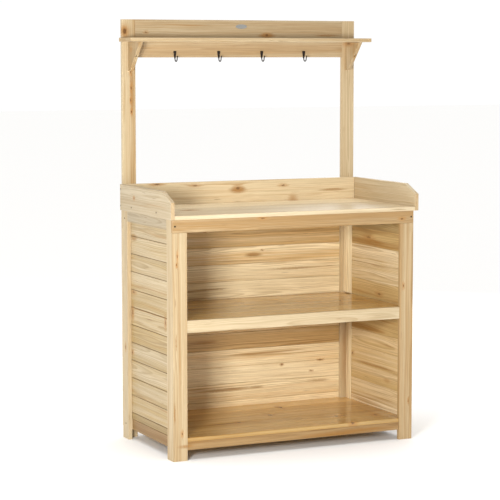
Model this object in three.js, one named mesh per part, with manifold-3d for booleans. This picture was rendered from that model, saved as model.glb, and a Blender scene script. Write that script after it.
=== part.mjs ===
// Potting bench: a two-shelf cabinet on four legs, a tray worktop with raised sides and back,
// and two tall rear posts that carry a shelf and a row of hooks.
// Millimetres. +X right, -Y front, +Z up. The origin is on the floor under the middle of the bench.

import * as THREE from 'three';
import { mergeVertices } from 'three/addons/utils/BufferGeometryUtils.js';
import Module from 'manifold-3d';

const wasm = await Module();
wasm.setup();

// ---- Driving dimensions ---------------------------------------------------------------------

const JOINT_GAP = 0.3;             // clearance between two pieces that touch
const BOARD = 15;                  // thickness of the planed boards

const INTERIOR_WIDTH = 945;        // between the two side frames
const TRAY_DEPTH = 490;            // inside the tray, front to back
const BENCH_HEIGHT = 1620;         // floor to the top of the rear posts
const WORKTOP_BASE = 891;          // floor to the underside of the worktop

const FRAME_THICKNESS = 30;        // stiles and rails of the side frames, across the bench
const STILE_WIDTH = 42;            // stiles of the side frames, front to back
const SIDE_RAIL_HEIGHT = 41;       // top and bottom rails of the side frames
const SLAT_SETBACK = 4;            // inner face of a frame to the inner face of its slats
const SLAT_THICKNESS = 10;
const SLATS_PER_SIDE = 12;
const TOP_SLAT_COVER = 56;         // the highest and lowest slats are ripped to fit
const BOTTOM_SLAT_COVER = 27;
const SLAT_HOUSING = 6;            // how deep a slat's end sits in the groove of a stile
const TONGUE_LENGTH = 5;
const TONGUE_THICKNESS = 3;
const SEAM_CHAMFER = 1.5;          // V at the seam between two boards

const LEG_BOARD_WIDTH = 57;        // boards on the front of the side frames
const WORKTOP_OVERHANG = 16;       // tray front to the front of the legs
const APRON_HEIGHT = 48;

const POST_WIDTH = 55;
const POST_THICKNESS = 15;
const CLADDING_THICKNESS = 10;
const CLADDING_DROP = 39;          // bottom shelf to the lower edge of the back cladding
const CLADDING_INSET = 2.5;        // back cladding to the outer faces of the posts

const TRAY_SIDE_LAP = 2.5;         // how far a tray side stands over the top of its frame
const TRAY_WALL_HEIGHT = 100;
const TRAY_SLOPE_LENGTH = 83;      // cut corner at the front of the tray sides
const TRAY_SLOPE_DROP = 36;
const WORKTOP_BOARDS = 5;

const MID_SHELF_TOP = 519;
const MID_RAIL_HEIGHT = 45;
const MID_CLEAT_HEIGHT = 40;
const BOTTOM_SHELF_TOP = 84;
const BOTTOM_SHELF_RISE = 4;       // bottom side rails to the top of the shelf let into them
const BOTTOM_RAIL_HEIGHT = 30;
const SHELF_BOARDS = 5;
const RAIL_SET_BACK = 2;           // front of the legs to the front of the shelf rails

const CORNER_BATTEN_THICKNESS = 12;
const CORNER_BATTEN_RISE = 4;      // shelf to the lower end of the corner battens

const BACK_RAIL_HEIGHT = 145;
const TOP_SHELF_DROP = 85;         // top of the posts to the underside of the top shelf
const TOP_SHELF_DEPTH = 124;
const TOP_SHELF_END = 12.5;        // top shelf past the outer faces of the posts
const BRACKET_HEIGHT = 111;
const BRACKET_REACH = 118;         // along the underside of the top shelf
const BRACKET_TOE = 20;            // depth at the lower end
const BRACKET_SHIFT = 5;           // inwards from the middle of the post
const SCREW_POCKET_RADIUS = 4.5;   // counterbore in the sloping edge of a bracket
const SCREW_POCKET_DEPTH = 14;

const HOOK_COUNT = 4;
const HOOK_PITCH = 186;
const HOOK_ROW_SHIFT = -5;         // the row sits slightly left of the middle
const HOOK_TOP_RISE = 25;          // lower edge of the back rail to the top of a hook plate
const HOOK_PLATE_WIDTH = 13;
const HOOK_PLATE_TOE = 5.5;        // width at the lower end of the plate
const HOOK_PLATE_HEIGHT = 30;
const HOOK_PLATE_THICKNESS = 2.5;
const HOOK_WIRE_RADIUS = 2;
const HOOK_BEND_RADIUS = 10.5;
const HOOK_TIP_RISE = 9;           // straight length past the bend
const HOOK_TIP_FLARE = 3;
const HOOK_BALL_RADIUS = 3;

// ---- Planes worked out from them ------------------------------------------------------------

const INTERIOR_HALF = INTERIOR_WIDTH / 2;
const LEG_OUTER = INTERIOR_HALF + FRAME_THICKNESS;
const SLAT_RECESS = FRAME_THICKNESS - SLAT_SETBACK - SLAT_THICKNESS;
const SLAT_OUTER = LEG_OUTER - SLAT_RECESS;
const SLAT_INNER = SLAT_OUTER - SLAT_THICKNESS;
const TRAY_HALF = LEG_OUTER - TRAY_SIDE_LAP;
const LEG_BOARD_INNER = LEG_OUTER - LEG_BOARD_WIDTH;
const POST_INNER = LEG_OUTER - POST_WIDTH;

const BENCH_DEPTH = TRAY_DEPTH + BOARD + POST_THICKNESS + CLADDING_THICKNESS;
const TRAY_FRONT = -BENCH_DEPTH / 2;
const TRAY_REAR = TRAY_FRONT + TRAY_DEPTH;
const POST_FRONT = TRAY_REAR + BOARD;
const POST_REAR = POST_FRONT + POST_THICKNESS;
const BENCH_REAR = POST_REAR + CLADDING_THICKNESS;
const LEG_FRONT = TRAY_FRONT + WORKTOP_OVERHANG;
const FRAME_FRONT = LEG_FRONT + BOARD;
const FRONT_STILE_REAR = FRAME_FRONT + STILE_WIDTH;
const REAR_STILE_FRONT = POST_FRONT - STILE_WIDTH;
const RAIL_FRONT = LEG_FRONT + RAIL_SET_BACK;
const RAIL_REAR = RAIL_FRONT + BOARD;

const MID_SHELF_BASE = MID_SHELF_TOP - BOARD;
const BOTTOM_SHELF_BASE = BOTTOM_SHELF_TOP - BOARD;
const BOTTOM_RAIL_BASE = BOTTOM_SHELF_BASE - BOTTOM_RAIL_HEIGHT;
const CLADDING_BASE = BOTTOM_SHELF_TOP - CLADDING_DROP;
const SIDE_RAIL_TOP = BOTTOM_SHELF_TOP - BOTTOM_SHELF_RISE;
const SIDE_RAIL_BASE = SIDE_RAIL_TOP - SIDE_RAIL_HEIGHT;
const SIDE_HEAD_BASE = WORKTOP_BASE - SIDE_RAIL_HEIGHT;
const APRON_BASE = WORKTOP_BASE - APRON_HEIGHT;
const TRAY_TOP = WORKTOP_BASE + TRAY_WALL_HEIGHT;
const BACK_RAIL_BASE = BENCH_HEIGHT - BACK_RAIL_HEIGHT;
const TOP_SHELF_BASE = BENCH_HEIGHT - TOP_SHELF_DROP;

const FULL_SLATS_HEIGHT = SIDE_HEAD_BASE - SIDE_RAIL_TOP - TOP_SLAT_COVER - BOTTOM_SLAT_COVER;
const SLAT_COVER = FULL_SLATS_HEIGHT / (SLATS_PER_SIDE - 2);
const LOWEST_SEAM = SIDE_RAIL_TOP + BOTTOM_SLAT_COVER;

// ---- Geometry helpers -----------------------------------------------------------------------

const SIDES = { left: -1, right: 1 };
const bench = new THREE.Group();

function woodMaterial(color) {
  return new THREE.MeshStandardMaterial({ color, roughness: 0.62, metalness: 0 });
}

function metalMaterial() {
  return new THREE.MeshStandardMaterial({ color: 0x2b2118, roughness: 0.4, metalness: 0.85 });
}

function addMesh(name, geometry, material) {
  const mesh = new THREE.Mesh(geometry, material);
  mesh.name = name;
  bench.add(mesh);
  return mesh;
}

// A box given by its two ends along each axis, in any order.
function boxBetween(x, y, z) {
  const size = [x, y, z].map(([a, b]) => Math.abs(b - a));
  const middle = [x, y, z].map(([a, b]) => (a + b) / 2);
  return new THREE.BoxGeometry(...size).translate(...middle);
}

function addBoard(name, x, y, z, color) {
  addMesh(name, boxBetween(x, y, z), woodMaterial(color));
}

// The two distances from the middle of the bench, on one side of it.
function onSide(side, near, far) {
  return [side * near, side * far];
}

// Pulls both ends of a length in by the joint gap.
function fitted([a, b]) {
  return [a + JOINT_GAP, b - JOINT_GAP];
}

function extruded(points, length) {
  const shape = new THREE.Shape(points.map(([u, v]) => new THREE.Vector2(u, v)));
  return new THREE.ExtrudeGeometry(shape, { depth: length, bevelEnabled: false });
}

// Outline points are (y, z); the solid runs along X.
function alongX(points, [x0, x1]) {
  const turn = new THREE.Matrix4().makeBasis(
    new THREE.Vector3(0, 1, 0),
    new THREE.Vector3(0, 0, 1),
    new THREE.Vector3(1, 0, 0),
  );
  return extruded(points, x1 - x0).applyMatrix4(turn).translate(x0, 0, 0);
}

// Outline points are (z, x); the solid runs along Y.
function alongY(points, [y0, y1]) {
  const turn = new THREE.Matrix4().makeBasis(
    new THREE.Vector3(0, 0, 1),
    new THREE.Vector3(1, 0, 0),
    new THREE.Vector3(0, 1, 0),
  );
  return extruded(points, y1 - y0).applyMatrix4(turn).translate(0, y0, 0);
}

// Outline points are (x, z); the solid runs along Y, towards the front from y0.
function platePointsToFront(points, y0, thickness) {
  const turn = new THREE.Matrix4().makeRotationX(Math.PI / 2);
  return extruded(points, thickness).applyMatrix4(turn).translate(0, y0, 0);
}

function toSolid(geometry) {
  const bare = geometry.clone();
  bare.deleteAttribute('normal');
  bare.deleteAttribute('uv');
  const merged = mergeVertices(bare, 1e-4);
  const mesh = new wasm.Mesh({
    numProp: 3,
    vertProperties: new Float32Array(merged.attributes.position.array),
    triVerts: new Uint32Array(merged.index.array),
  });
  return new wasm.Manifold(mesh);
}

function toGeometry(solid) {
  const mesh = solid.getMesh();
  const geometry = new THREE.BufferGeometry();
  geometry.setAttribute('position', new THREE.BufferAttribute(mesh.vertProperties, 3));
  geometry.setIndex(new THREE.BufferAttribute(mesh.triVerts, 1));
  geometry.computeVertexNormals();
  return geometry;
}

function cut(geometry, tools) {
  return toGeometry(tools.reduce((solid, tool) => solid.subtract(toSolid(tool)), toSolid(geometry)));
}

function joined(pieces) {
  return toGeometry(pieces.map(toSolid).reduce((solid, next) => solid.add(next)));
}

// Outline of boards lying edge to edge from start to end, with a V at each seam of the show face.
// Points are (distance along the panel, height above its plain face).
function boardedOutline(start, end, thickness, seams) {
  const points = [[start, 0], [start, thickness]];
  for (const seam of seams) {
    points.push([seam - SEAM_CHAMFER, thickness]);
    points.push([seam, thickness - SEAM_CHAMFER]);
    points.push([seam + SEAM_CHAMFER, thickness]);
  }
  points.push([end, thickness], [end, 0]);
  return points;
}

function evenSeams(start, end, boards) {
  const seams = [];
  for (let i = 1; i < boards; i += 1) {
    seams.push(start + ((end - start) * i) / boards);
  }
  return seams;
}

// ---- Side frames ----------------------------------------------------------------------------

// A stile is grooved for the slats, and its inner half stops at the underside of the bottom rail.
function addStile(name, side, y, grooveAt) {
  const stile = boxBetween(onSide(side, INTERIOR_HALF, LEG_OUTER), y, [0, WORKTOP_BASE - JOINT_GAP]);
  const foot = boxBetween(
    onSide(side, INTERIOR_HALF - BOARD, SLAT_OUTER),
    [y[0] - BOARD, y[1] + BOARD],
    [-BOARD, SIDE_RAIL_BASE],
  );
  const groove = boxBetween(
    onSide(side, SLAT_INNER - JOINT_GAP, SLAT_OUTER + JOINT_GAP),
    grooveAt,
    [SIDE_RAIL_TOP, SIDE_HEAD_BASE],
  );
  addMesh(name, cut(stile, [groove, foot]), woodMaterial(0xdcc098));
}

// Section of a slat as (z, x): a tongue on its upper edge and a groove along its lower edge.
function slatOutline(side, base, top, hasTongue, hasGroove) {
  const tongue = TONGUE_THICKNESS / 2;
  const groove = tongue + JOINT_GAP;
  const grooveDepth = TONGUE_LENGTH + JOINT_GAP;
  const half = SLAT_THICKNESS / 2;
  const points = [[base, -half]];
  if (hasGroove) {
    points.push([base, -groove], [base + grooveDepth, -groove]);
    points.push([base + grooveDepth, groove], [base, groove]);
  }
  points.push([base, half - SEAM_CHAMFER], [base + SEAM_CHAMFER, half]);
  points.push([top - SEAM_CHAMFER, half], [top, half - SEAM_CHAMFER]);
  if (hasTongue) {
    points.push([top, tongue], [top + TONGUE_LENGTH, tongue]);
    points.push([top + TONGUE_LENGTH, -tongue], [top, -tongue]);
  }
  points.push([top, -half]);
  const middle = (SLAT_INNER + SLAT_OUTER) / 2;
  return points.map(([z, out]) => [z, side * (middle + out)]);
}

function addSlats(sideName, side) {
  const y = fitted([FRONT_STILE_REAR - SLAT_HOUSING, REAR_STILE_FRONT + SLAT_HOUSING]);
  for (let i = 0; i < SLATS_PER_SIDE; i += 1) {
    const lowest = i === 0;
    const highest = i === SLATS_PER_SIDE - 1;
    const base = lowest ? SIDE_RAIL_TOP : LOWEST_SEAM + (i - 1) * SLAT_COVER;
    const top = highest ? SIDE_HEAD_BASE : LOWEST_SEAM + i * SLAT_COVER;
    const foot = lowest ? base + JOINT_GAP : base;
    const outline = slatOutline(side, foot, top - JOINT_GAP, !highest, !lowest);
    const number = String(i + 1).padStart(2, '0');
    addMesh(`side_slat_${sideName}_${number}`, alongY(outline, y), woodMaterial(0xd1bc94));
  }
}

// Its outer face is in line with the slats. The inner edge is rebated for the end of the bottom shelf.
function addSideBottomRail(name, side, across, between) {
  const rail = boxBetween(across, between, [SIDE_RAIL_BASE, SIDE_RAIL_TOP]);
  const rebate = boxBetween(
    onSide(side, INTERIOR_HALF - BOARD, SLAT_INNER),
    [FRAME_FRONT, POST_FRONT],
    [BOTTOM_SHELF_BASE - JOINT_GAP, BOTTOM_SHELF_TOP],
  );
  addMesh(name, cut(rail, [rebate]), woodMaterial(0xaa8c5a));
}

function addSideFrame(sideName, side) {
  const frontGroove = [FRONT_STILE_REAR - SLAT_HOUSING, FRONT_STILE_REAR + BOARD];
  const rearGroove = [REAR_STILE_FRONT - BOARD, REAR_STILE_FRONT + SLAT_HOUSING];
  addStile(`front_stile_${sideName}`, side, [FRAME_FRONT + JOINT_GAP, FRONT_STILE_REAR], frontGroove);
  addStile(`rear_stile_${sideName}`, side, [REAR_STILE_FRONT, POST_FRONT - JOINT_GAP], rearGroove);

  const across = onSide(side, INTERIOR_HALF, LEG_OUTER);
  const between = fitted([FRONT_STILE_REAR, REAR_STILE_FRONT]);
  const head = [SIDE_HEAD_BASE, WORKTOP_BASE - JOINT_GAP];
  addBoard(`side_top_rail_${sideName}`, across, between, head, 0xcfb68c);
  const behindSlats = onSide(side, INTERIOR_HALF, SLAT_OUTER);
  addSideBottomRail(`side_bottom_rail_${sideName}`, side, behindSlats, between);
  addSlats(sideName, side);

  const legBoard = onSide(side, LEG_BOARD_INNER, LEG_OUTER);
  const legTop = APRON_BASE - JOINT_GAP;
  addBoard(`front_leg_board_${sideName}`, legBoard, [LEG_FRONT, FRAME_FRONT], [0, legTop], 0xe4c99e);
}

// ---- Rear posts, back cladding and apron ------------------------------------------------------

function addRearPost(sideName, side) {
  const across = onSide(side, POST_INNER, LEG_OUTER);
  addBoard(`rear_post_${sideName}`, across, [POST_FRONT, POST_REAR], [0, BENCH_HEIGHT], 0xe2c79c);

  const batten = onSide(side, INTERIOR_HALF - CORNER_BATTEN_THICKNESS, INTERIOR_HALF - JOINT_GAP);
  const height = [MID_SHELF_TOP + CORNER_BATTEN_RISE, WORKTOP_BASE - JOINT_GAP];
  const depth = [REAR_STILE_FRONT, POST_FRONT - JOINT_GAP];
  addBoard(`corner_batten_${sideName}`, batten, depth, height, 0xeed0a3);
}

function addBackCladding() {
  const seams = [];
  for (let z = LOWEST_SEAM; z < WORKTOP_BASE - SEAM_CHAMFER * 2; z += SLAT_COVER) {
    seams.push(z);
  }
  const outline = boardedOutline(CLADDING_BASE, WORKTOP_BASE, CLADDING_THICKNESS - JOINT_GAP, seams);
  const section = outline.map(([z, out]) => [BENCH_REAR - out, z]);
  const half = LEG_OUTER - CLADDING_INSET;
  addMesh('back_cladding', alongX(section, [-half, half]), woodMaterial(0xdebe8e));
}

// One rail along the front of both side frames, and one between the rear posts.
function addTopRails() {
  const height = [APRON_BASE, WORKTOP_BASE - JOINT_GAP];
  addBoard('front_apron', [-LEG_OUTER, LEG_OUTER], [LEG_FRONT, FRAME_FRONT], height, 0xdeb882);
  const between = fitted([-POST_INNER, POST_INNER]);
  addBoard('rear_top_rail', between, [POST_FRONT, POST_REAR], height, 0xcbab7c);
}

// ---- Worktop and tray -------------------------------------------------------------------------

function addWorktop() {
  const rear = TRAY_REAR - JOINT_GAP;
  const seams = evenSeams(TRAY_FRONT, rear, WORKTOP_BOARDS);
  const outline = boardedOutline(TRAY_FRONT, rear, BOARD, seams);
  const section = outline.map(([y, up]) => [y, WORKTOP_BASE + up]);
  const across = fitted([-TRAY_HALF, TRAY_HALF]);
  addMesh('worktop', alongX(section, across), woodMaterial(0xead4a8));
}

function addTraySide(sideName, side) {
  const rear = POST_FRONT - JOINT_GAP;
  const outline = [
    [TRAY_FRONT, WORKTOP_BASE],
    [rear, WORKTOP_BASE],
    [rear, TRAY_TOP],
    [TRAY_FRONT + TRAY_SLOPE_LENGTH, TRAY_TOP],
    [TRAY_FRONT, TRAY_TOP - TRAY_SLOPE_DROP],
  ];
  const [x0, x1] = onSide(side, TRAY_HALF, TRAY_HALF + BOARD).sort((a, b) => a - b);
  addMesh(`tray_side_${sideName}`, alongX(outline, [x0, x1]), woodMaterial(0xd8bd92));
}

function addTrayBack() {
  const across = fitted([-TRAY_HALF, TRAY_HALF]);
  const depth = [TRAY_REAR, POST_FRONT - JOINT_GAP];
  addBoard('tray_back', across, depth, [WORKTOP_BASE, TRAY_TOP], 0xdcb987);
}

// ---- Shelves ------------------------------------------------------------------------------------

// Boards along X, from front to the back cladding and out to the same distance on both sides.
function shelfPanel(front, half, top, notches) {
  const rear = POST_REAR - JOINT_GAP;
  const outline = boardedOutline(front, rear, BOARD, evenSeams(front, rear, SHELF_BOARDS));
  const section = outline.map(([y, up]) => [y, top - BOARD + up]);
  return cut(alongX(section, fitted([-half, half])), notches);
}

// Corner cuts on both sides that let a shelf pass whatever stands between y0 and y1.
function cornerNotches(inner, [y0, y1], top) {
  const height = [top - 2 * BOARD, top + BOARD];
  return Object.values(SIDES).map((side) => {
    const across = onSide(side, inner - JOINT_GAP, LEG_OUTER);
    return boxBetween(across, [y0 - JOINT_GAP, y1 + JOINT_GAP], height);
  });
}

function addMidShelf() {
  const notches = cornerNotches(POST_INNER, [POST_FRONT, BENCH_REAR], MID_SHELF_TOP);
  const panel = shelfPanel(RAIL_REAR + JOINT_GAP, INTERIOR_HALF, MID_SHELF_TOP, notches);
  addMesh('mid_shelf', panel, woodMaterial(0xe6cc9c));

  const between = fitted([-LEG_BOARD_INNER, LEG_BOARD_INNER]);
  const height = [MID_SHELF_TOP - MID_RAIL_HEIGHT, MID_SHELF_TOP];
  addBoard('mid_shelf_front_rail', between, [RAIL_FRONT, RAIL_REAR], height, 0xeed7af);
}

function addMidShelfCleat(sideName, side) {
  const across = onSide(side, INTERIOR_HALF - BOARD, INTERIOR_HALF - JOINT_GAP);
  const height = [MID_SHELF_BASE - MID_CLEAT_HEIGHT, MID_SHELF_BASE - JOINT_GAP];
  addBoard(`mid_shelf_cleat_${sideName}`, across, fitted([RAIL_REAR, POST_FRONT]), height, 0xc8a878);
}

// The bottom shelf lies in the rebates of the side rails and is notched round all four legs.
function addBottomShelf() {
  const notches = [
    ...cornerNotches(LEG_BOARD_INNER, [TRAY_FRONT, FRAME_FRONT], BOTTOM_SHELF_TOP),
    ...cornerNotches(INTERIOR_HALF, [TRAY_FRONT, FRONT_STILE_REAR], BOTTOM_SHELF_TOP),
    ...cornerNotches(INTERIOR_HALF, [REAR_STILE_FRONT, BENCH_REAR], BOTTOM_SHELF_TOP),
    ...cornerNotches(POST_INNER, [POST_FRONT, BENCH_REAR], BOTTOM_SHELF_TOP),
  ];
  const panel = shelfPanel(RAIL_FRONT, SLAT_INNER, BOTTOM_SHELF_TOP, notches);
  addMesh('bottom_shelf', panel, woodMaterial(0xe2c594));

  const height = [BOTTOM_RAIL_BASE, BOTTOM_SHELF_BASE - JOINT_GAP];
  const betweenLegs = fitted([-LEG_BOARD_INNER, LEG_BOARD_INNER]);
  const betweenPosts = fitted([-POST_INNER, POST_INNER]);
  addBoard('bottom_front_rail', betweenLegs, [RAIL_FRONT, RAIL_REAR], height, 0xb8935a);
  addBoard('bottom_rear_rail', betweenPosts, [POST_FRONT, POST_REAR], height, 0xb8935a);
}

// ---- Hook rail and top shelf --------------------------------------------------------------------

function addBackRail() {
  const across = fitted([-POST_INNER, POST_INNER]);
  const height = [BACK_RAIL_BASE, BENCH_HEIGHT];
  addBoard('top_back_rail', across, [POST_FRONT, POST_REAR], height, 0xd9b888);
}

function addTopShelf() {
  const half = LEG_OUTER + TOP_SHELF_END;
  const rear = POST_FRONT - JOINT_GAP;
  const height = [TOP_SHELF_BASE, TOP_SHELF_BASE + BOARD];
  addBoard('top_shelf', [-half, half], [POST_FRONT - TOP_SHELF_DEPTH, rear], height, 0xe8cfa2);
}

// A triangular bracket, upright in the YZ plane, with a screw pocket square to its sloping edge.
function addBracket(sideName, side) {
  const rear = POST_FRONT - JOINT_GAP;
  const top = TOP_SHELF_BASE - JOINT_GAP;
  const foot = TOP_SHELF_BASE - BRACKET_HEIGHT;
  const nose = POST_FRONT - BRACKET_REACH;
  const toe = POST_FRONT - BRACKET_TOE;
  const outline = [[rear, top], [nose, top], [toe, foot], [rear, foot]];
  const middle = side * ((POST_INNER + LEG_OUTER) / 2 - BRACKET_SHIFT);
  const plate = alongX(outline, [middle - BOARD / 2, middle + BOARD / 2]);

  const slope = new THREE.Vector3(0, toe - nose, foot - top).normalize();
  const outward = new THREE.Vector3(0, slope.z, -slope.y);
  const pocket = new THREE.CylinderGeometry(
    SCREW_POCKET_RADIUS,
    SCREW_POCKET_RADIUS,
    SCREW_POCKET_DEPTH * 2,
    24,
  );
  pocket.applyQuaternion(new THREE.Quaternion().setFromUnitVectors(new THREE.Vector3(0, 1, 0), outward));
  pocket.translate(middle, (nose + toe) / 2, (top + foot) / 2);
  addMesh(`shelf_bracket_${sideName}`, cut(plate, [pocket]), woodMaterial(0xc9ab78));
}

// A tapered wall plate and a round wire that drops from it, bends forward and ends in a ball.
function hookGeometry() {
  const rear = POST_FRONT - JOINT_GAP;
  const top = BACK_RAIL_BASE + HOOK_TOP_RISE;
  const foot = top - HOOK_PLATE_HEIGHT;
  const wide = HOOK_PLATE_WIDTH / 2;
  const narrow = HOOK_PLATE_TOE / 2;
  const outline = [[-narrow, foot], [narrow, foot], [wide, top - wide], [wide - 2, top]];
  outline.push([2 - wide, top], [-wide, top - wide]);
  const plate = platePointsToFront(outline, rear, HOOK_PLATE_THICKNESS);

  const start = new THREE.Vector3(0, rear - HOOK_WIRE_RADIUS - JOINT_GAP, top - HOOK_PLATE_HEIGHT / 2);
  const bendCentre = new THREE.Vector3(0, start.y - HOOK_BEND_RADIUS, foot);
  const points = [start];
  for (let step = 0; step <= 6; step += 1) {
    const angle = (Math.PI * step) / 6;
    const y = bendCentre.y + HOOK_BEND_RADIUS * Math.cos(angle);
    const z = bendCentre.z - HOOK_BEND_RADIUS * Math.sin(angle);
    points.push(new THREE.Vector3(0, y, z));
  }
  const tipY = bendCentre.y - HOOK_BEND_RADIUS - HOOK_TIP_FLARE;
  const tip = new THREE.Vector3(0, tipY, bendCentre.z + HOOK_TIP_RISE);
  points.push(tip);

  const section = new THREE.Shape().absarc(0, 0, HOOK_WIRE_RADIUS, 0, 2 * Math.PI, false);
  const wire = new THREE.ExtrudeGeometry(section, {
    steps: 26,
    curveSegments: 5,
    extrudePath: new THREE.CatmullRomCurve3(points),
  });
  const ball = new THREE.SphereGeometry(HOOK_BALL_RADIUS, 12, 8).translate(tip.x, tip.y, tip.z);
  return joined([plate, wire, ball]);
}

function addHooks() {
  const hook = hookGeometry();
  for (let i = 0; i < HOOK_COUNT; i += 1) {
    const mesh = addMesh(`hook_${i + 1}`, hook.clone(), metalMaterial());
    mesh.position.x = HOOK_ROW_SHIFT + (i - (HOOK_COUNT - 1) / 2) * HOOK_PITCH;
  }
}

// ---- The bench ----------------------------------------------------------------------------------

for (const [sideName, side] of Object.entries(SIDES)) {
  addSideFrame(sideName, side);
  addRearPost(sideName, side);
  addTraySide(sideName, side);
  addMidShelfCleat(sideName, side);
  addBracket(sideName, side);
}
addBackCladding();
addTopRails();
addWorktop();
addTrayBack();
addMidShelf();
addBottomShelf();
addBackRail();
addTopShelf();
addHooks();

export default bench;
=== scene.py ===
# Potting bench: planed fir boards with eased edges, countersunk screws and dark bronze hooks.
# Metres, in the frame of the CAD model: +X right, -Y front, +Z up.

import math
import random

import bmesh
import bpy
from mathutils import Matrix, Vector


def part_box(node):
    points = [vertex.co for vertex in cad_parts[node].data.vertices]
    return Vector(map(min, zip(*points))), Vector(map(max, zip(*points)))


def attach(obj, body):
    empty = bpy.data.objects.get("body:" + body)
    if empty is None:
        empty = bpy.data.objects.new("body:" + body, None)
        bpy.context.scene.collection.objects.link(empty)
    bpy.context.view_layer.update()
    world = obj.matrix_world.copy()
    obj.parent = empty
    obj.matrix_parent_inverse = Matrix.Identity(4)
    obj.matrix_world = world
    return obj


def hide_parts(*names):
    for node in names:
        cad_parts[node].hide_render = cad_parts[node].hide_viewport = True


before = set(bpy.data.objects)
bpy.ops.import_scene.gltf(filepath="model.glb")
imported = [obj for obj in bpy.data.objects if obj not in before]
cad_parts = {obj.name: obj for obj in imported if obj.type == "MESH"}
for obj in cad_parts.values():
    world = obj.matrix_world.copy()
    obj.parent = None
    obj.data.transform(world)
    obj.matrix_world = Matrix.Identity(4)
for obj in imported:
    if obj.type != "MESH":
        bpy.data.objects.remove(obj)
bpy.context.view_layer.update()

# ---- Camera -----------------------------------------------------------------------------------

CAMERA_PLACE = (-3.1215, -6.4677, 1.4922)
CAMERA_HEADING = math.radians(25.22)   # clockwise from +Y, seen from above
CAMERA_DIP = math.radians(6.01)
CAMERA_LENS = 134.76
SENSOR_WIDTH = 36.0


def make_camera():
    lens = bpy.data.cameras.new("camera")
    lens.lens = CAMERA_LENS
    lens.sensor_width = SENSOR_WIDTH
    lens.clip_end = 100.0
    camera = bpy.data.objects.new("camera", lens)
    camera.location = CAMERA_PLACE
    camera.rotation_euler = (math.pi / 2 - CAMERA_DIP, 0.0, -CAMERA_HEADING)
    bpy.context.scene.collection.objects.link(camera)
    bpy.context.scene.camera = camera


make_camera()

# ---- Sizes of the finish work -----------------------------------------------------------------

MM = 0.001
ARRIS = 1.1 * MM              # eased edges of the planed timber
SEAM = 0.25 * MM              # half the gap between two boards of a panel
SCREW_RADIUS = 3.4 * MM
SCREW_DEPTH = 1.6 * MM
SCREW_CLEARANCE = 0.35 * MM
SCREW_SINK = 0.5 * MM

SLATS = 12
WORKTOP_BOARDS = 5
SHELF_BOARDS = 5
SIDES = (("left", -1), ("right", 1))
AXES = {"X": 0, "Y": 1, "Z": 2}


def low(node):
    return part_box(node)[0]


def high(node):
    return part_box(node)[1]


def middle(node):
    return (low(node) + high(node)) / 2


# ---- Materials --------------------------------------------------------------------------------


def tint(red, green, blue):
    """A colour given on the 0 to 255 display scale, as the linear colour that a shader takes."""
    shares = [value / 255 for value in (red, green, blue)]
    linear = [s / 12.92 if s <= 0.04045 else ((s + 0.055) / 1.055) ** 2.4 for s in shares]
    return (*linear, 1.0)


class Recipe:
    """The nodes of one material. Each call adds a node, feeds its inputs and gives its output."""

    def __init__(self, name):
        self.material = bpy.data.materials.new(name)
        self.material.use_nodes = True
        self.tree = self.material.node_tree
        self.shader = self.tree.nodes["Principled BSDF"]

    def feed(self, socket, value):
        if isinstance(value, bpy.types.NodeSocket):
            self.tree.links.new(value, socket)
        else:
            socket.default_value = value

    def add(self, kind, inputs, **settings):
        node = self.tree.nodes.new("ShaderNode" + kind)
        for key, value in settings.items():
            setattr(node, key, value)
        for key, value in inputs.items():
            self.feed(node.inputs[key], value)
        return node

    def attribute(self, name, output="Vector"):
        return self.add("Attribute", {}, attribute_name=name).outputs[output]

    def place(self):
        return self.add("TexCoord", {}).outputs["Object"]

    def math(self, operation, *terms):
        return self.add("Math", dict(enumerate(terms)), operation=operation).outputs[0]

    def vector(self, operation, *terms):
        node = self.add("VectorMath", dict(enumerate(terms)), operation=operation)
        return node.outputs["Value" if operation == "LENGTH" else "Vector"]

    def noise(self, vector, detail=2.0, roughness=0.5, output="Fac"):
        inputs = {"Vector": vector, "Scale": 1.0, "Detail": detail, "Roughness": roughness}
        return self.add("TexNoise", inputs).outputs[output]

    def along_one_line(self, distance, detail=2.0):
        inputs = {"W": distance, "Scale": 1.0, "Detail": detail}
        return self.add("TexNoise", inputs, noise_dimensions="1D").outputs["Fac"]

    def step(self, value, start, end, first=0.0, last=1.0):
        inputs = {"Value": value, "From Min": start, "From Max": end, "To Min": first, "To Max": last}
        return self.add("MapRange", inputs, interpolation_type="SMOOTHSTEP").outputs[0]

    def blend(self, share, first, second, how="MIX"):
        inputs = {0: share, 6: first, 7: second}
        return self.add("Mix", inputs, data_type="RGBA", blend_type=how).outputs[2]

    def split(self, vector):
        return self.add("SeparateXYZ", {0: vector}).outputs

    def bump(self, height, distance, strength):
        inputs = {"Height": height, "Distance": distance, "Strength": strength}
        return self.add("Bump", inputs).outputs[0]

    def finish(self, **sockets):
        for name, value in sockets.items():
            self.feed(self.shader.inputs[name.replace("_", " ")], value)
        return self.material


def nearest_mark(recipe, knots, unevenness):
    """The distance to the nearest mark, counted in that mark's own radii, with an uneven rim."""
    place = recipe.place()
    uneven = recipe.noise(recipe.vector("MULTIPLY", place, (150.0, 150.0, 150.0)), 2.0, 0.5, "Color")
    uneven = recipe.vector("SUBTRACT", uneven, HALF)
    uneven = recipe.vector("MULTIPLY", uneven, (unevenness,) * 3)
    place = recipe.vector("ADD", place, uneven)
    nearest = None
    for centre, radii in knots:
        offset = recipe.vector("SUBTRACT", place, tuple(c * MM for c in centre))
        scaled = recipe.vector("DIVIDE", offset, tuple(r * MM for r in radii))
        distance = recipe.vector("LENGTH", scaled)
        nearest = distance if nearest is None else recipe.math("MINIMUM", nearest, distance)
    return nearest


HALF = (0.5, 0.5, 0.5)


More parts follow.
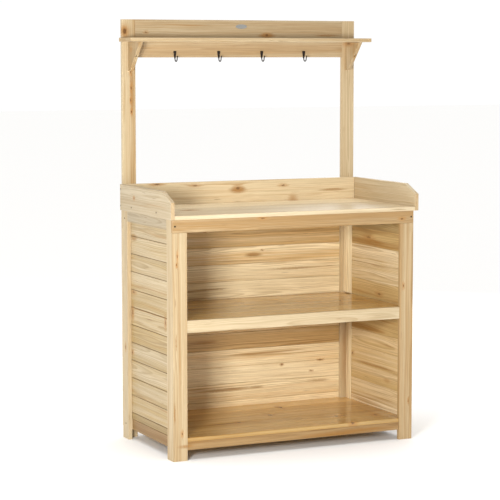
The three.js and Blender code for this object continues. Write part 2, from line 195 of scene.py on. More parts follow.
def fir(name, pale, tan, knots, stain_and_shade_marks, roughness=0.44, figure=1.0, shine=0.35):
    """Planed fir. The mesh carries its own grain: (along, across, through) the log, from the pith."""
    wood = Recipe(name)
    grain = wood.attribute("grain")
    # Per-board tone, warmth and cant; for some boards the tone carries painted light and shade.
    stock = wood.split(wood.attribute("stock"))
    tone, heart = stock[0], stock[1]
    end = wood.attribute("end_grain", "Fac")

    def strands(source, lengthwise, crosswise, detail=2.0, roughen=0.5):
        scale = (lengthwise, crosswise, crosswise)
        return wood.noise(wood.vector("MULTIPLY", source, scale), detail, roughen)

    def swing(value, depth):
        return wood.math("MULTIPLY", wood.math("SUBTRACT", value, 0.5), depth)

    def total(*terms):
        level = terms[0]
        for term in terms[1:]:
            level = wood.math("ADD", level, term)
        return level

    wander = wood.noise(wood.vector("MULTIPLY", grain, (1.7, 9.0, 9.0)), 2.0, 0.5, "Color")
    wander = wood.vector("SUBTRACT", wander, HALF)
    bent = wood.vector("ADD", grain, wood.vector("MULTIPLY", wander, (0.0, 0.022, 0.022)))
    knot = nearest_mark(wood, knots, 0.007)
    swirl = wood.step(knot, 0.4, 4.5, 1.0, 0.0)
    push = wood.add("CombineXYZ", {1: wood.math("MULTIPLY", swirl, 0.006)}).outputs[0]
    bent = wood.vector("ADD", bent, push)
    radius = wood.vector("LENGTH", wood.vector("MULTIPLY", bent, (0.0, 1.0, 1.0)))

    ring = wood.math("FRACT", wood.math("MULTIPLY", radius, RINGS_PER_METRE))
    late = wood.math("MULTIPLY", wood.step(ring, 0.3, 0.86), wood.step(ring, 0.9, 1.0, 1.0, 0.0))
    season = wood.along_one_line(wood.math("MULTIPLY", radius, 120.0), 4.0)
    broad = strands(bent, 0.9, 22.0)
    middling = strands(bent, 2.6, 85.0, 3.0, 0.6)
    fibre = strands(bent, 5.0, 330.0, 4.0, 0.65)
    hair = strands(grain, 26.0, 1500.0, 2.0, 0.6)

    warmth = total(swing(season, 0.9), swing(broad, 1.1), swing(middling, 0.6 * figure), heart, stock[2])
    colour = wood.blend(wood.step(warmth, 0.1, 0.95), pale, tan)
    colour = wood.blend(wood.step(warmth, 0.95, 1.75), colour, HEART_BROWN)
    shade = total(
        1.0,
        wood.math("MULTIPLY", late, -0.16 * figure),
        swing(middling, 0.3 * figure),
        swing(fibre, 0.6 * figure),
        swing(hair, 0.18),
    )
    level = total(1.0, wood.math("MULTIPLY", tone, 0.22))
    shares = [wood.math("MULTIPLY", wood.math("POWER", shade, power), level) for power in (0.9, 1.1, 1.45)]
    figured = wood.add("CombineColor", dict(enumerate(shares))).outputs[0]
    colour = wood.blend(1.0, colour, figured, "MULTIPLY")

    streak = wood.step(strands(bent, 1.5, 60.0, 3.0, 0.55), 0.58, 0.74, 0.0, 0.5 * figure)
    colour = wood.blend(streak, colour, STREAK_BROWN)
    # Stained patches, and the patches of painted shade listed among them, browned the same way.
    stain_and_shade = wood.step(nearest_mark(wood, stain_and_shade_marks, 0.005), 0.35, 1.15, 1.0, 0.0)
    stain_and_shade = wood.math("MULTIPLY", stain_and_shade, wood.step(fibre, 0.3, 0.65, 0.25, 0.85))
    colour = wood.blend(stain_and_shade, colour, STAIN_AND_SHADE_BROWN)
    fleck = wood.step(strands(bent, 10.0, 280.0, 1.0), 0.72, 0.8, 0.0, 0.75)
    colour = wood.blend(fleck, colour, FLECK_BROWN)

    darkness = wood.noise(wood.vector("MULTIPLY", wood.place(), (9.0, 9.0, 9.0)), 1.0)
    darkness = wood.step(darkness, 0.35, 0.65, 0.6, 1.0)
    halo = wood.math("MULTIPLY", wood.step(knot, 0.8, 3.6, 0.75, 0.0), darkness)
    colour = wood.blend(halo, colour, HALO_BROWN)
    core = wood.math("MULTIPLY", wood.step(knot, 0.45, 1.1, 1.0, 0.0), darkness)
    colour = wood.blend(core, colour, KNOT_BROWN)
    colour = wood.blend(wood.math("MULTIPLY", end, 0.4), colour, END_BROWN)
    # Painted shade: the slanting faces of the V where two slats meet are darkened, as the narrow gap
    # between them lies in shadow.
    groove = wood.attribute("groove", "Fac")
    colour = wood.blend(wood.math("MULTIPLY", groove, 0.65), colour, GROOVE_SHADE_BROWN)

    rough = wood.math("MULTIPLY", total(0.8, wood.math("MULTIPLY", fibre, 0.45)), roughness)
    height = total(wood.math("MULTIPLY", hair, 0.5), wood.math("MULTIPLY", fibre, 0.8))
    height = wood.math("SUBTRACT", height, wood.math("MULTIPLY", late, 0.3))
    wood.shader.inputs["Specular IOR Level"].default_value = shine
    relief = wood.bump(height, 0.65 * roughness * MM, 0.5)
    return wood.finish(Base_Color=colour, Roughness=rough, Normal=relief)


RINGS_PER_METRE = 310.0
HEART_BROWN = tint(140, 98, 44)
STREAK_BROWN = tint(160, 117, 56)
STAIN_AND_SHADE_BROWN = tint(146, 98, 32)
FLECK_BROWN = tint(118, 80, 38)
# Painted shade for the V between slats.
GROOVE_SHADE_BROWN = tint(112, 84, 48)
HALO_BROWN = tint(172, 122, 62)
KNOT_BROWN = tint(96, 62, 30)
END_BROWN = tint(176, 140, 92)


def lacquered_metal(name, colour, worn, metallic, roughness):
    """Thin dark lacquer over steel, rubbed lighter in small patches."""
    metal = Recipe(name)
    patches = metal.noise(metal.vector("MULTIPLY", metal.place(), (260.0, 260.0, 260.0)), 4.0, 0.6)
    rubbed = metal.step(patches, 0.55, 0.78)
    finish = metal.blend(rubbed, colour, worn)
    rough = metal.math("ADD", metal.math("MULTIPLY", patches, 0.25), roughness)
    bump = metal.bump(patches, 0.08 * MM, 0.35)
    metal.shader.inputs["Metallic"].default_value = metallic
    return metal.finish(Base_Color=finish, Roughness=rough, Normal=bump)


# Knots, stained patches and a few patches of painted shade as (centre, radii) in millimetres, a few on
# each family of boards.
LEG_KNOTS = (
    ((-484, -249, 758), (1.8, 20, 8)),
    ((-487, -249, 726), (1.5, 20, 5)),
    ((-467, -249, 102), (2.4, 20, 7)),
    ((460, -249, 600), (2.4, 20, 8)),
    ((486, -249, 150), (2.0, 20, 6)),
    ((-140, -249, 884), (10, 20, 3.5)),
    ((451, -249, 860), (8, 20, 3.5)),
    ((-502, 222, 360), (20, 3.0, 9)),
    ((-491, 240, 1575), (9, 20, 13)),
    ((-468, 240, 1420), (2.4, 20, 7)),
    ((-466, 240, 1358), (2.6, 20, 9)),
    ((-468, 240, 1312), (2.4, 20, 7)),
    ((-465, 240, 1268), (2.2, 20, 6)),
    ((463, 211, 1529), (6, 18, 5)),
    ((-462, 211, 1505), (8, 8, 6)),
)
LEG_STAINS_AND_SHADE = (
    ((-497, -249, 180), (4, 20, 45)),
    ((-490, -249, 440), (3, 20, 40)),
    ((-464, 240, 1345), (9, 20, 120)),
    ((-492, 240, 1578), (15, 20, 22)),
    ((300, -240, 52), (170, 20, 10)),
    # Painted shade: the right rear post's face is browned over the lower compartment's height, under the
    # mid shelf.
    ((486, 240, 270), (44, 20, 236)),
    ((-455, -240, 54), (40, 20, 9)),
    ((180, -240, 48), (230, 20, 12)),
)
SLAT_KNOTS = (
    ((-486, -140, 502), (6, 5, 12)),
    ((-486, 186, 500), (6, 6, 14)),
    ((-486, 192, 342), (6, 9, 4)),
    ((-486, 176, 578), (6, 14, 4)),
    ((476, -30, 542), (9, 14, 5.0)),
    ((476, 190, 275), (9, 8, 5.0)),
    ((476, 60, 760), (9, 22, 4.5)),
    ((486, -96, 206), (6, 12, 4.5)),
)
SLAT_STAINS_AND_SHADE = (
    # Painted shade: a thin dark line along the open seam at about 519 mm on the left side.
    ((-486, 20, 517), (8, 330, 2.2)),
    ((-486, -40, 608), (8, 200, 2.0)),
    ((-486, 170, 790), (8, 40, 16)),
    ((476, 60, 745), (9, 170, 14)),
    ((476, 90, 395), (9, 200, 16)),
    ((476, 0, 250), (9, 220, 7)),
)
BOARD_KNOTS = (
    ((187, 255, 237), (3.6, 12, 3.0)),
    ((362, 255, 245), (7, 12, 2.2)),
    ((320, 255, 202), (5, 12, 2.4)),
    ((98, 255, 708), (4, 12, 2.2)),
    ((-50, 255, 516), (4, 12, 2.0)),
    ((-150, 255, 790), (3, 12, 2.0)),
    ((244, -247, 84), (9, 14, 8)),
    ((247, -105, 84), (10, 15, 12)),
    ((22, 22, 84), (11, 15, 12)),
    ((395, -151, 84), (10, 14, 12)),
    ((-150, -60, 84), (8, 12, 12)),
    ((130, 150, 84), (8, 16, 12)),
    ((-60, 120, 519), (7, 14, 12)),
    ((217, 20, 519), (8, 14, 12)),
)
BOARD_STAINS = (
    ((-60, 255, 152), (150, 12, 9)),
    ((70, 255, 153), (40, 12, 7)),
    ((350, 255, 160), (60, 12, 6)),
    ((-158, 255, 350), (70, 12, 9)),
    ((60, 255, 690), (45, 12, 12)),
    ((240, 255, 628), (130, 12, 5)),
    ((-130, 255, 560), (90, 12, 4)),
    ((247, -105, 84), (70, 12, 12)),
    ((-200, -60, 84), (120, 16, 12)),
    ((217, 152, 519), (80, 12, 12)),
)
TRAY_KNOTS = (
    ((-515, 95, 947), (15, 5.0, 4.0)),
    ((-367, 225, 986), (14, 12, 3.0)),
    ((-207, 225, 977), (12, 12, 3.0)),
    ((-22, 225, 961), (10, 12, 7.0)),
    ((176, 225, 967), (10, 12, 3.0)),
    ((221, 215, 906), (10, 7.0, 12)),
    ((-345, -45, 906), (14, 9.0, 12)),
    ((111, 240, 1562), (9, 12, 5.0)),
    ((-404, 240, 1571), (5, 12, 3.0)),
)
TRAY_STAINS = (
    ((-22, 225, 955), (45, 12, 16)),
    ((400, 225, 943), (70, 12, 6)),
    ((-215, 200, 906), (50, 14, 12)),
    ((-345, -45, 906), (60, 22, 12)),
    ((111, 240, 1560), (45, 12, 10)),
    ((380, 240, 1562), (60, 12, 5)),
)

LEG_FIR = fir("leg_fir", tint(196, 178, 146), tint(170, 138, 94), LEG_KNOTS, LEG_STAINS_AND_SHADE)
SIDE_FIR = fir("side_fir", tint(194, 180, 154), tint(172, 150, 116), TRAY_KNOTS, TRAY_STAINS)
SLAT_FIR = fir("slat_fir", tint(208, 191, 160), tint(182, 156, 108), SLAT_KNOTS, SLAT_STAINS_AND_SHADE, 0.44, 1.3)
BOARD_FIR = fir(
    "board_fir", tint(241, 224, 188), tint(210, 175, 120), BOARD_KNOTS, BOARD_STAINS, 0.44, 1.6
)
SHELF_FIR = fir(
    "shelf_fir", tint(208, 174, 112), tint(168, 126, 58), BOARD_KNOTS, BOARD_STAINS, 0.1, 1.3, 0.7
)
TRAY_FIR = fir(
    "tray_fir", tint(230, 213, 180), tint(204, 174, 132), TRAY_KNOTS, TRAY_STAINS, 0.38, 1.2, 0.4
)
HOOK_BRONZE = lacquered_metal("hook_bronze", tint(32, 23, 16), tint(64, 47, 31), 0.3, 0.48)
SCREW_STEEL = lacquered_metal("screw_steel", tint(62, 52, 42), tint(108, 96, 82), 0.85, 0.34)
PLATE_SILVER = lacquered_metal("plate_silver", tint(172, 175, 176), tint(140, 143, 146), 0.6, 0.3)

# ---- Timber -----------------------------------------------------------------------------------


def merged_copy(node):
    """The CAD solid with its triangles gathered into whole flat faces."""
    shape = bmesh.new()
    shape.from_mesh(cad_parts[node].data)
    bmesh.ops.remove_doubles(shape, verts=shape.verts, dist=0.01 * MM)
    bmesh.ops.dissolve_limit(
        shape, angle_limit=math.radians(0.5), verts=shape.verts, edges=shape.edges
    )
    return shape


def keep_between(shape, axis, start, end):
    """Saws a shape square across one axis and keeps the length between two places."""
    for place, side in ((start, -1.0), (end, 1.0)):
        normal = Vector((0.0, 0.0, 0.0))
        normal[axis] = side
        point = Vector((0.0, 0.0, 0.0))
        point[axis] = place
        everything = list(shape.verts) + list(shape.edges) + list(shape.faces)
        sawn = bmesh.ops.bisect_plane(
            shape, geom=everything, plane_co=point, plane_no=normal, clear_outer=True
        )
        edges = [item for item in sawn["geom_cut"] if isinstance(item, bmesh.types.BMEdge)]
        bmesh.ops.holes_fill(shape, edges=edges, sides=0)


def ease_edges(shape, width):
    sharp = [edge for edge in shape.edges if edge.calc_face_angle(0.0) > math.radians(20)]
    bmesh.ops.bevel(
        shape,
        geom=sharp,
        offset=width,
        offset_type="OFFSET",
        segments=2,
        profile=0.5,
        affect="EDGES",
        clamp_overlap=True,
        material=-1,
    )


def to_object(name, shape, material):
    bmesh.ops.recalc_face_normals(shape, faces=shape.faces)
    mesh = bpy.data.meshes.new(name)
    shape.to_mesh(mesh)
    shape.free()
    mesh.materials.append(material)
    made = bpy.data.objects.new(name, mesh)
    bpy.context.scene.collection.objects.link(made)
    return made


def turned_to(outward):
    """A turn that takes +Z to the outward direction."""
    return Vector(outward).to_track_quat("Z", "Y").to_matrix().to_4x4()


def bore_holes(made, screws):
    """Cuts a shallow round pocket for each screw head."""
    drill = bmesh.new()
    for place, outward in screws:
        bmesh.ops.create_cone(
            drill,
            cap_ends=True,
            segments=24,
            radius1=SCREW_RADIUS + SCREW_CLEARANCE,
            radius2=SCREW_RADIUS + SCREW_CLEARANCE,
            depth=2 * SCREW_DEPTH,
            matrix=Matrix.Translation(place) @ turned_to(outward),
        )
    cutter = to_object(made.name + "_drill", drill, SCREW_STEEL)
    boolean = made.modifiers.new("holes", "BOOLEAN")
    boolean.operation = "DIFFERENCE"
    boolean.solver = "EXACT"
    boolean.object = cutter
    settled = made.evaluated_get(bpy.context.evaluated_depsgraph_get())
    bored = bpy.data.meshes.new_from_object(settled)
    made.modifiers.clear()
    made.data = bored
    bpy.data.objects.remove(cutter)


def mark_grain(made, directions, tone, heart, cant, matched):
    """Writes where each point lies in its log, how light and warm the board is, and its end grain.

    cant is how much warmer the board's upper or right edge is than its middle. A matched board
    meets its neighbours in a V, whose slanting faces are darkened as painted shade of the gap.
    """
    chance = random.Random(made.name)
    pith = Vector((
        chance.uniform(0.0, 9.0),
        chance.uniform(-0.05, 0.05),
        chance.choice((-1, 1)) * chance.uniform(0.012, 0.05),
    ))
    if tone is None:
        tone = chance.uniform(-0.5, 0.5)
    if heart is None:
        heart = chance.uniform(0.3, 0.7)
    mesh = made.data
    order = [AXES[letter] for letter in directions]
    places = [vertex.co for vertex in mesh.vertices]
    centre = [
        (min(p[axis] for p in places) + max(p[axis] for p in places)) / 2 for axis in order
    ]
    half_width = max(p[order[1]] for p in places) - centre[1]
    grain = mesh.attributes.new("grain", "FLOAT_VECTOR", "POINT")
    # Per-board tone, warmth and cant; for some boards the tone carries painted light and shade.
    stock = mesh.attributes.new("stock", "FLOAT_VECTOR", "POINT")
    for i, p in enumerate(places):
        grain.data[i].vector = [p[order[k]] - centre[k] + pith[k] for k in range(3)]
        across = (p[order[1]] - centre[1]) / half_width
        stock.data[i].vector = (tone, heart, cant * across)
    ends = mesh.attributes.new("end_grain", "FLOAT", "FACE")
    groove_shades = mesh.attributes.new("groove", "FLOAT", "FACE")
    for face in mesh.polygons:
        along, across, through = [abs(face.normal[axis]) for axis in order]
        ends.data[face.index].value = 1.0 if along > 0.7 else 0.0
        slanting = min(across, through) > 0.4
        groove_shades.data[face.index].value = 1.0 if matched and slanting else 0.0


def settle(made, slot, *nodes):
    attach(made, "root")
    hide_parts(*nodes)
    return made


HEADS = []                    # (place, outward) of every screw, filled as the boards are made


def timber(
    name, shape, directions, material, slot, nodes,
    screws=(), tone=None, heart=None, cant=0.0, arris=ARRIS,
):
    """One finished board from a sawn shape. directions names its long, wide and thin axes."""
    ease_edges(shape, arris)
    made = to_object(name, shape, material)
    if screws:
        bore_holes(made, screws)
        HEADS.extend(screws)
    mark_grain(made, directions, tone, heart, cant, arris > ARRIS)
    return settle(made, slot, *nodes)


def cad_board(node, directions, material, slot, **finish):
    name = node + "_board"
    return timber(name, merged_copy(node), directions, material, slot, [node], **finish)


def panel(node, axis, seams, directions, material, slot, stock, screws=()):
    """A joined panel as the separate boards that it is made of. stock lists their (tone, heart)."""
    edges = [low(node)[axis] - MM, *seams, high(node)[axis] + MM]
    for i, (start, end) in enumerate(zip(edges, edges[1:])):
        shape = merged_copy(node)
        keep_between(shape, axis, start + SEAM, end - SEAM)
        own = [s for s in screws if start < s[0][axis] < end]
        tone, heart = stock[i]
        name = f"{node}_board_{i + 1}"
        timber(name, shape, directions, material, slot, [node], own, tone, heart)


def even_seams(node, axis, boards):
    start, end = low(node)[axis], high(node)[axis]
    return [start + (end - start) * i / boards for i in range(1, boards)]


# ---- Side frames ------------------------------------------------------------------------------

SLAT_ARRIS = 2.2 * MM
RAIL_SCREW_DROP = 10 * MM     # below the middle of the top side rail
STILE_SCREW_SHIFT = 7 * MM    # behind the middle of the rear stile
# Each slat's (tone, heart), lowest first. The lowest left slat is darker as painted shade from the rail,
# and the right slats are lighter than the left ones as painted light on the right wall's lit inner face.
SLAT_STOCK_AND_PAINTED_LIGHT = {
    "left": (
        (-1.1, 0.9), (-0.35, 0.5), (-0.5, 0.55), (-0.45, 0.5), (-0.6, 0.55), (-0.35, 0.6),
        (-0.3, 0.5), (-0.4, 0.55), (-0.35, 0.45), (-0.5, 0.55), (-0.3, 0.45), (-0.5, 0.55),
    ),
    "right": (
        (1.2, 0.1), (1.2, 0.6), (1.2, 0.75), (1.2, 0.6), (1.2, 0.7), (0.7, 1.1),
        (1.2, 0.95), (1.2, 0.95), (1.0, 0.4), (1.0, 0.35), (0.8, 1.2), (-0.6, 0.95),
    ),
}


def make_side_frame(side_name, side):
    outward = (side, 0, 0)
    outer = high("front_stile_right").x * side
    heights = [middle("side_top_rail_left").z - RAIL_SCREW_DROP, middle("side_bottom_rail_left").z]
    rear = middle(f"rear_stile_{side_name}").y + STILE_SCREW_SHIFT
    screws = [(Vector((outer, rear, z)), outward) for z in heights]
    cad_board(f"front_stile_{side_name}", "ZYX", LEG_FIR, "frame_wood", tone=0.0, heart=0.3)
    # Painted light: the right rear stile takes the paler board fir, so its inner face in the cabinet reads
    # lighter than the left stile.
    rear_fir = LEG_FIR if side < 0 else BOARD_FIR
    cad_board(
        f"rear_stile_{side_name}", "ZYX", rear_fir, "frame_wood",
        screws=screws, tone=0.0, heart=0.2,
    )
    top, bottom = f"side_top_rail_{side_name}", f"side_bottom_rail_{side_name}"
    cad_board(top, "YZX", SIDE_FIR, "frame_wood", tone=-0.6, heart=0.5)
    cad_board(bottom, "YZX", LEG_FIR, "frame_wood", tone=-0.9, heart=1.15)
    for i in range(SLATS):
        node = f"side_slat_{side_name}_{i + 1:02d}"
        tone, heart = SLAT_STOCK_AND_PAINTED_LIGHT[side_name][i]
        cad_board(
            node, "YZX", SLAT_FIR, "slat_wood", tone=tone, heart=heart, arris=SLAT_ARRIS
        )
    tone, heart = (-0.1, 0.35) if side < 0 else (0.1, 0.6)
    cad_board(f"front_leg_board_{side_name}", "ZXY", LEG_FIR, "frame_wood", tone=tone, heart=heart)


# ---- Rear -------------------------------------------------------------------------------------

NAIL_SHARES = (0.25, 0.75)    # two nails up the height of each back board
LOWEST_NAIL = 12 * MM
BACK_RAIL_SCREW_INSET = 30 * MM
TRAY_BACK_SCREW_HEIGHTS = (0.94, 0.974)
# Each back board's (tone, heart), lowest first. Besides their own tone, the lowest board is painted
# lighter and the top boards of each compartment, the fifth and the eleventh and twelfth, darker and
# browner as painted shade under the mid shelf and the apron.
CLADDING_STOCK_AND_PAINTED_LIGHT = (
    (0.5, 0.3), (0.3, 0.35), (0.3, 0.3), (0.4, 0.4), (-0.2, 0.95), (0.4, 0.5), (0.7, 0.5),
    (0.1, 0.05), (0.1, 0.4), (0.2, 0.45), (-0.1, 0.8), (-0.5, 0.75), (-0.3, 0.5),
)


def make_rear():
    back = high("back_cladding").y
    seams = [low(f"side_slat_left_{i + 1:02d}").z for i in range(1, SLATS)]
    cover = seams[-1] - seams[-2]
    seams.append(seams[-1] + cover)
    rows = [low("back_cladding").z + LOWEST_NAIL]
    rows += [z + cover * share for z in seams[:-1] for share in NAIL_SHARES]
    screws = []
    for _, side in SIDES:
        x = side * middle("rear_post_right").x
        screws += [(Vector((x, back, z)), (0, 1, 0)) for z in rows]
    panel("back_cladding", 2, seams, "XZY", BOARD_FIR, "board_wood", CLADDING_STOCK_AND_PAINTED_LIGHT, screws)
    for side_name, side in SIDES:
        post = f"rear_post_{side_name}"
        x = middle(post).x
        rear = high(post).y
        heights = [
            low("top_back_rail").z + BACK_RAIL_SCREW_INSET,
            high("top_back_rail").z - BACK_RAIL_SCREW_INSET,
            *TRAY_BACK_SCREW_HEIGHTS,
        ]
        screws = [(Vector((x, rear, z)), (0, 1, 0)) for z in heights]
        tone, heart, cant = (0.1, 0.3, 0.3) if side < 0 else (0.4, 0.35, 0.15)
        cad_board(
            post, "ZXY", LEG_FIR, "frame_wood",
            screws=screws, tone=tone, heart=heart, cant=cant,
        )
        batten = f"corner_batten_{side_name}"
        cad_board(batten, "ZXY", BOARD_FIR, "frame_wood", tone=0.0, heart=0.0)
    cad_board("rear_top_rail", "XZY", LEG_FIR, "frame_wood", tone=0.0, heart=0.6)
    cad_board("bottom_rear_rail", "XZY", LEG_FIR, "frame_wood", tone=-0.1, heart=0.7)


# ---- Front, worktop and shelves ---------------------------------------------------------------

APRON_SCREW_INSET = 10 * MM
TRAY_SCREW_RISE = 18 * MM
TRAY_SCREW_REACH = 124 * MM   # either side of the middle of the tray's depth
TRAY_SCREW_PITCH = 64 * MM
WORKTOP_STOCK = ((-0.7, 0.4), (-0.7, 0.4), (-0.5, 0.35), (0.3, 0.15), (0.3, 0.15))
# Each shelf board's (tone, heart), front first. The boards get lighter towards the back as a painted
# reflection of the bright back wall, on top of their own tone.
SHELF_STOCK_AND_PAINTED_REFLECTION = {
    "mid_shelf": ((0.2, 0.4), (0.3, 0.45), (0.6, 0.35), (0.6, 0.35), (0.9, 0.2)),
    "bottom_shelf": ((-0.3, 0.7), (0.2, 0.65), (0.5, 0.55), (0.9, 0.35), (1.2, 0.2)),
}


def make_front():
    apron_z = middle("front_apron").z
    front = low("front_apron").y
    reach = high("front_apron").x - APRON_SCREW_INSET
    screws = [(Vector((side * reach, front, apron_z)), (0, -1, 0)) for _, side in SIDES]
    cad_board(
        "front_apron", "XZY", LEG_FIR, "frame_wood", screws=screws, tone=-0.05, heart=0.72, cant=0.1
    )
    cad_board("mid_shelf_front_rail", "XZY", LEG_FIR, "frame_wood", tone=0.1, heart=0.15)
    cad_board("bottom_front_rail", "XZY", LEG_FIR, "frame_wood", tone=-0.45, heart=1.15, cant=0.1)


def make_worktop():
    seams = even_seams("worktop", 1, WORKTOP_BOARDS)
    panel("worktop", 1, seams, "XYZ", TRAY_FIR, "board_wood", WORKTOP_STOCK)
    for side_name, side in SIDES:
        node = f"tray_side_{side_name}"
        face = side * high("tray_side_right").x
        bottom = low(node).z + TRAY_SCREW_RISE
        reaches = (-TRAY_SCREW_REACH, TRAY_SCREW_REACH)
        near = [(Vector((face, y, bottom)), (side, 0, 0)) for y in reaches]
        rear = middle("tray_back").y
        heights = (bottom, bottom + TRAY_SCREW_PITCH)
        far = [(Vector((face, rear, z)), (side, 0, 0)) for z in heights]
        cad_board(
            node, "YZX", SIDE_FIR, "frame_wood",
            screws=near + far, tone=0.0 if side < 0 else 0.5, heart=0.45,
        )
    cad_board("tray_back", "XZY", TRAY_FIR, "board_wood", tone=-0.2, heart=0.35)


def make_shelves():
    for node in ("mid_shelf", "bottom_shelf"):
        seams = even_seams(node, 1, SHELF_BOARDS)
        panel(node, 1, seams, "XYZ", SHELF_FIR, "board_wood", SHELF_STOCK_AND_PAINTED_REFLECTION[node])
    for side_name, _ in SIDES:
        cad_board(f"mid_shelf_cleat_{side_name}", "YZX", LEG_FIR, "frame_wood")


# ---- Hook rail and top shelf ------------------------------------------------------------------


def make_top():
    cad_board("top_back_rail", "XZY", TRAY_FIR, "board_wood", tone=-1.2, heart=0.65)
    cad_board("top_shelf", "XYZ", LEG_FIR, "board_wood", tone=0.0, heart=0.4)
    for side_name, _ in SIDES:
        bracket = f"shelf_bracket_{side_name}"
        cad_board(bracket, "ZYX", LEG_FIR, "frame_wood", tone=-0.35, heart=0.6)


# ---- Screws -----------------------------------------------------------------------------------

CROSS_GRID = 5
CROSS_DEPTH = 0.8 * MM


def add_screw_head(shape, place, outward, radius):
    """A flat round head with a cross recess, just below the surface that it is driven into."""
    head = bmesh.new()
    bmesh.ops.create_grid(head, x_segments=CROSS_GRID, y_segments=CROSS_GRID, size=radius)
    for vertex in head.verts:
        if vertex.is_boundary:
            vertex.co = vertex.co.normalized() * radius
    reach = radius / 2
    arms = [f for f in head.faces if f.calc_center_median().length < reach]
    pushed = bmesh.ops.extrude_face_region(head, geom=arms)
    bmesh.ops.delete(head, geom=arms, context="FACES_ONLY")
    floor = [item for item in pushed["geom"] if isinstance(item, bmesh.types.BMVert)]
    bmesh.ops.translate(head, verts=floor, vec=(0, 0, -CROSS_DEPTH))
    rim = [edge for edge in head.edges if edge.is_boundary]
    skirt = bmesh.ops.extrude_edge_only(head, edges=rim)
    lower = [item for item in skirt["geom"] if isinstance(item, bmesh.types.BMVert)]
    bmesh.ops.translate(head, verts=lower, vec=(0, 0, -CROSS_DEPTH))
    turn = Matrix.Translation(place) @ turned_to(outward)
    sink = Matrix.Translation((0, 0, -SCREW_SINK))
    bmesh.ops.transform(head, matrix=turn @ sink, verts=head.verts)
    part = bpy.data.meshes.new("screw")
    head.to_mesh(part)
    head.free()
    shape.from_mesh(part)


def make_screws():
    """All heads that are driven from one side make one piece."""
    facings = sorted({tuple(outward) for _, outward in HEADS})
    for i, facing in enumerate(facings):
        shape = bmesh.new()
        for place, outward in HEADS:
            if tuple(outward) == facing:
                add_screw_head(shape, place, outward, SCREW_RADIUS)
        screws = to_object(f"screws_{i + 1}", shape, SCREW_STEEL)
        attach(screws, "root")


# ---- Hooks and plate --------------------------------------------------------------------------

PLATE_HEIGHT = 30 * MM
PLATE_WIDTH = 13 * MM
PLATE_TOE = 5.5 * MM
PLATE_THICKNESS = 2.5 * MM
WIRE_RADIUS = 2 * MM
BEND_RADIUS = 10.5 * MM
TIP_RISE = 9 * MM
TIP_FLARE = 3 * MM
BALL_RADIUS = 3 * MM


def make_hook_plate(shape, x, rear, top):
    """A flat shield, wide above and narrow below, with soft edges."""
    made = bmesh.ops.create_cube(shape, size=1.0)
    box = made["verts"]
    bmesh.ops.scale(shape, vec=(PLATE_WIDTH, PLATE_THICKNESS, PLATE_HEIGHT), verts=box)
    lower = [v for v in box if v.co.z < 0]
    bmesh.ops.scale(shape, vec=(PLATE_TOE / PLATE_WIDTH, 1.0, 1.0), verts=lower)
    place = (x, rear - PLATE_THICKNESS / 2, top - PLATE_HEIGHT / 2)
    bmesh.ops.translate(shape, verts=box, vec=place)
    upright = [e for e in shape.edges if abs(e.verts[0].co.y - e.verts[1].co.y) > MM]
    bmesh.ops.bevel(
        shape, geom=upright, offset=2.6 * MM, offset_type="OFFSET", segments=4, profile=0.5,
        affect="EDGES", clamp_overlap=True, material=-1,
    )
    front = [e for e in shape.edges if e.calc_face_angle(0.0) > math.radians(50)]
    bmesh.ops.bevel(
        shape, geom=front, offset=0.6 * MM, offset_type="OFFSET", segments=2, profile=0.5,
        affect="EDGES", clamp_overlap=True, material=-1,
    )


def make_hook_wire(shape, x, rear, top):
    """A round bar that drops from the plate, bends forward and up, and ends in a ball."""
    start = Vector((x, rear - WIRE_RADIUS - 0.3 * MM, top - PLATE_HEIGHT / 2))
    foot = top - PLATE_HEIGHT
    made = bmesh.ops.create_circle(
        shape, cap_ends=True, segments=16, radius=WIRE_RADIUS, matrix=Matrix.Translation(start)
    )
    face = [f for v in made["verts"][:1] for f in v.link_faces]
    dropped = bmesh.ops.extrude_face_region(shape, geom=face)
    ring = [item for item in dropped["geom"] if isinstance(item, bmesh.types.BMVert)]
    bmesh.ops.translate(shape, verts=ring, vec=(0, 0, foot - start.z))
    face = [item for item in dropped["geom"] if isinstance(item, bmesh.types.BMFace)]
    bend = Vector((x, start.y - BEND_RADIUS, foot))
    spun = bmesh.ops.spin(
        shape, geom=face, cent=bend, axis=(1, 0, 0), angle=-math.pi, steps=14, use_merge=False
    )
    bmesh.ops.delete(shape, geom=face, context="FACES_ONLY")
    last = [item for item in spun["geom_last"] if isinstance(item, bmesh.types.BMFace)]
    risen = bmesh.ops.extrude_face_region(shape, geom=last)
    bmesh.ops.delete(shape, geom=last, context="FACES_ONLY")
    ring = [item for item in risen["geom"] if isinstance(item, bmesh.types.BMVert)]
    bmesh.ops.translate(shape, verts=ring, vec=(0, -TIP_FLARE, TIP_RISE))
    tip = (x, bend.y - BEND_RADIUS - TIP_FLARE, foot + TIP_RISE)
    bmesh.ops.create_uvsphere(
        shape, u_segments=16, v_segments=10, radius=BALL_RADIUS, matrix=Matrix.Translation(tip)
    )


def smooth_faces(made):
    for face in made.data.polygons:
        face.use_smooth = True


def make_hooks():
    for i in range(1, 5):
        node = f"hook_{i}"
        x = middle(node).x
        rear = high(node).y
        top = high(node).z
        plate = bmesh.new()
        make_hook_plate(plate, x, rear, top)
        plate_piece = to_object(f"hook_plate_{i}", plate, HOOK_BRONZE)
        settle(plate_piece, "hook_metal", node)
        wire = bmesh.new()
        make_hook_wire(wire, x, rear, top)
        wire_piece = to_object(f"hook_wire_{i}", wire, HOOK_BRONZE)
        smooth_faces(wire_piece)
        settle(wire_piece, "hook_metal", node)


OVAL_HALF_SIZE = (24.5 * MM, 1.0 * MM, 8.5 * MM)
OVAL_DROP = 25 * MM           # upper edge of the back rail to the middle of the plate
OVAL_SEAT = 0.55 * MM
OVAL_EDGE = 0.3 * MM
OVAL_RIM = 2.2 * MM


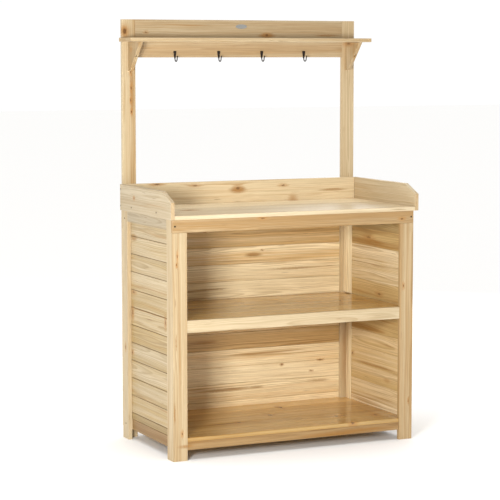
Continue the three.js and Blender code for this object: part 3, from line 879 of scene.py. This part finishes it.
def make_plate():
    """A small blank oval plate on the back rail."""
    face = low("top_back_rail").y
    z = high("top_back_rail").z - OVAL_DROP
    shape = bmesh.new()
    bmesh.ops.create_cone(
        shape, cap_ends=True, segments=48, radius1=1.0, radius2=1.0, depth=1.0,
        matrix=Matrix.Rotation(math.pi / 2, 4, "X"),
    )
    bmesh.ops.scale(shape, vec=OVAL_HALF_SIZE, verts=shape.verts)
    bmesh.ops.translate(shape, verts=shape.verts, vec=(0, face - OVAL_SEAT, z))
    rim = [e for e in shape.edges if e.calc_face_angle(0.0) > math.radians(50)]
    bmesh.ops.bevel(
        shape, geom=rim, offset=OVAL_EDGE, offset_type="OFFSET", segments=2, profile=0.5,
        affect="EDGES", clamp_overlap=True, material=-1,
    )
    front = [f for f in shape.faces if f.normal.y < -0.99]
    bmesh.ops.inset_region(shape, faces=front, thickness=OVAL_RIM, use_even_offset=True)
    bmesh.ops.inset_region(shape, faces=front, thickness=OVAL_EDGE, depth=-OVAL_EDGE)
    plate = to_object("blank_plate", shape, PLATE_SILVER)
    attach(plate, "root")


# ---- Studio -----------------------------------------------------------------------------------


FLOOR_HALF_SIZE = 40.0
FLOOR_WHITE = (0.95, 0.955, 0.97, 1.0)
BACKDROP_STRENGTH = 1.02
FILL_STRENGTH = 0.42
FILL_COLOUR = (1.0, 0.97, 0.9, 1.0)
CEILING_STRENGTH = 2.05
CEILING_SPREAD = 70.0         # degrees
KEY_PLACE, KEY_AIM = (-2.5, -3.1, 1.2), (0.0, 0.0, 0.6)
REAR_PLACE, REAR_AIM = (2.8, 3.2, 1.8), (0.0, 0.0, 0.8)


def make_floor():
    shape = bmesh.new()
    bmesh.ops.create_grid(shape, x_segments=1, y_segments=1, size=FLOOR_HALF_SIZE)
    paper = Recipe("pale_floor")
    paper.shader.inputs["Base Color"].default_value = FLOOR_WHITE
    paper.shader.inputs["Roughness"].default_value = 0.9
    floor = to_object("floor", shape, paper.material)


def make_softbox(name, place, aim, size, power, colour):
    lamp = bpy.data.lights.new(name, "AREA")
    lamp.size = size
    lamp.energy = power
    lamp.color = colour
    light = bpy.data.objects.new(name, lamp)
    light.location = place
    light.rotation_euler = (Vector(aim) - Vector(place)).to_track_quat("-Z", "Y").to_euler()
    bpy.context.scene.collection.objects.link(light)


def make_ceiling(strength, spread):
    """An even light straight down, as from a wide white ceiling."""
    lamp = bpy.data.lights.new("ceiling", "SUN")
    lamp.energy = strength
    lamp.angle = math.radians(spread)
    bpy.context.scene.collection.objects.link(bpy.data.objects.new("ceiling", lamp))


def make_sky(backdrop, fill, fill_colour):
    """A white backdrop, and the weaker light that comes from all round."""
    world = bpy.data.worlds.new("studio")
    world.use_nodes = True
    nodes, links = world.node_tree.nodes, world.node_tree.links
    around = nodes["Background"]
    around.inputs["Color"].default_value = fill_colour
    around.inputs["Strength"].default_value = fill
    behind = nodes.new("ShaderNodeBackground")
    behind.inputs["Color"].default_value = (1.0, 1.0, 1.0, 1.0)
    behind.inputs["Strength"].default_value = backdrop
    seen = nodes.new("ShaderNodeLightPath").outputs["Is Camera Ray"]
    either = nodes.new("ShaderNodeMixShader")
    links.new(seen, either.inputs["Fac"])
    links.new(around.outputs["Background"], either.inputs[1])
    links.new(behind.outputs["Background"], either.inputs[2])
    links.new(either.outputs["Shader"], nodes["World Output"].inputs["Surface"])
    bpy.context.scene.world = world


for side_name, side in SIDES:
    make_side_frame(side_name, side)
make_rear()
make_front()
make_worktop()
make_shelves()
make_top()
make_screws()
make_hooks()
make_plate()

make_floor()
make_sky(BACKDROP_STRENGTH, FILL_STRENGTH, FILL_COLOUR)
make_ceiling(CEILING_STRENGTH, CEILING_SPREAD)
make_softbox("key", KEY_PLACE, KEY_AIM, 0.7, 136.0, (1.0, 0.98, 0.93))
make_softbox("rear_fill", REAR_PLACE, REAR_AIM, 2.0, 32.0, (1.0, 1.0, 1.0))
bpy.context.scene.view_settings.view_transform = "Standard"
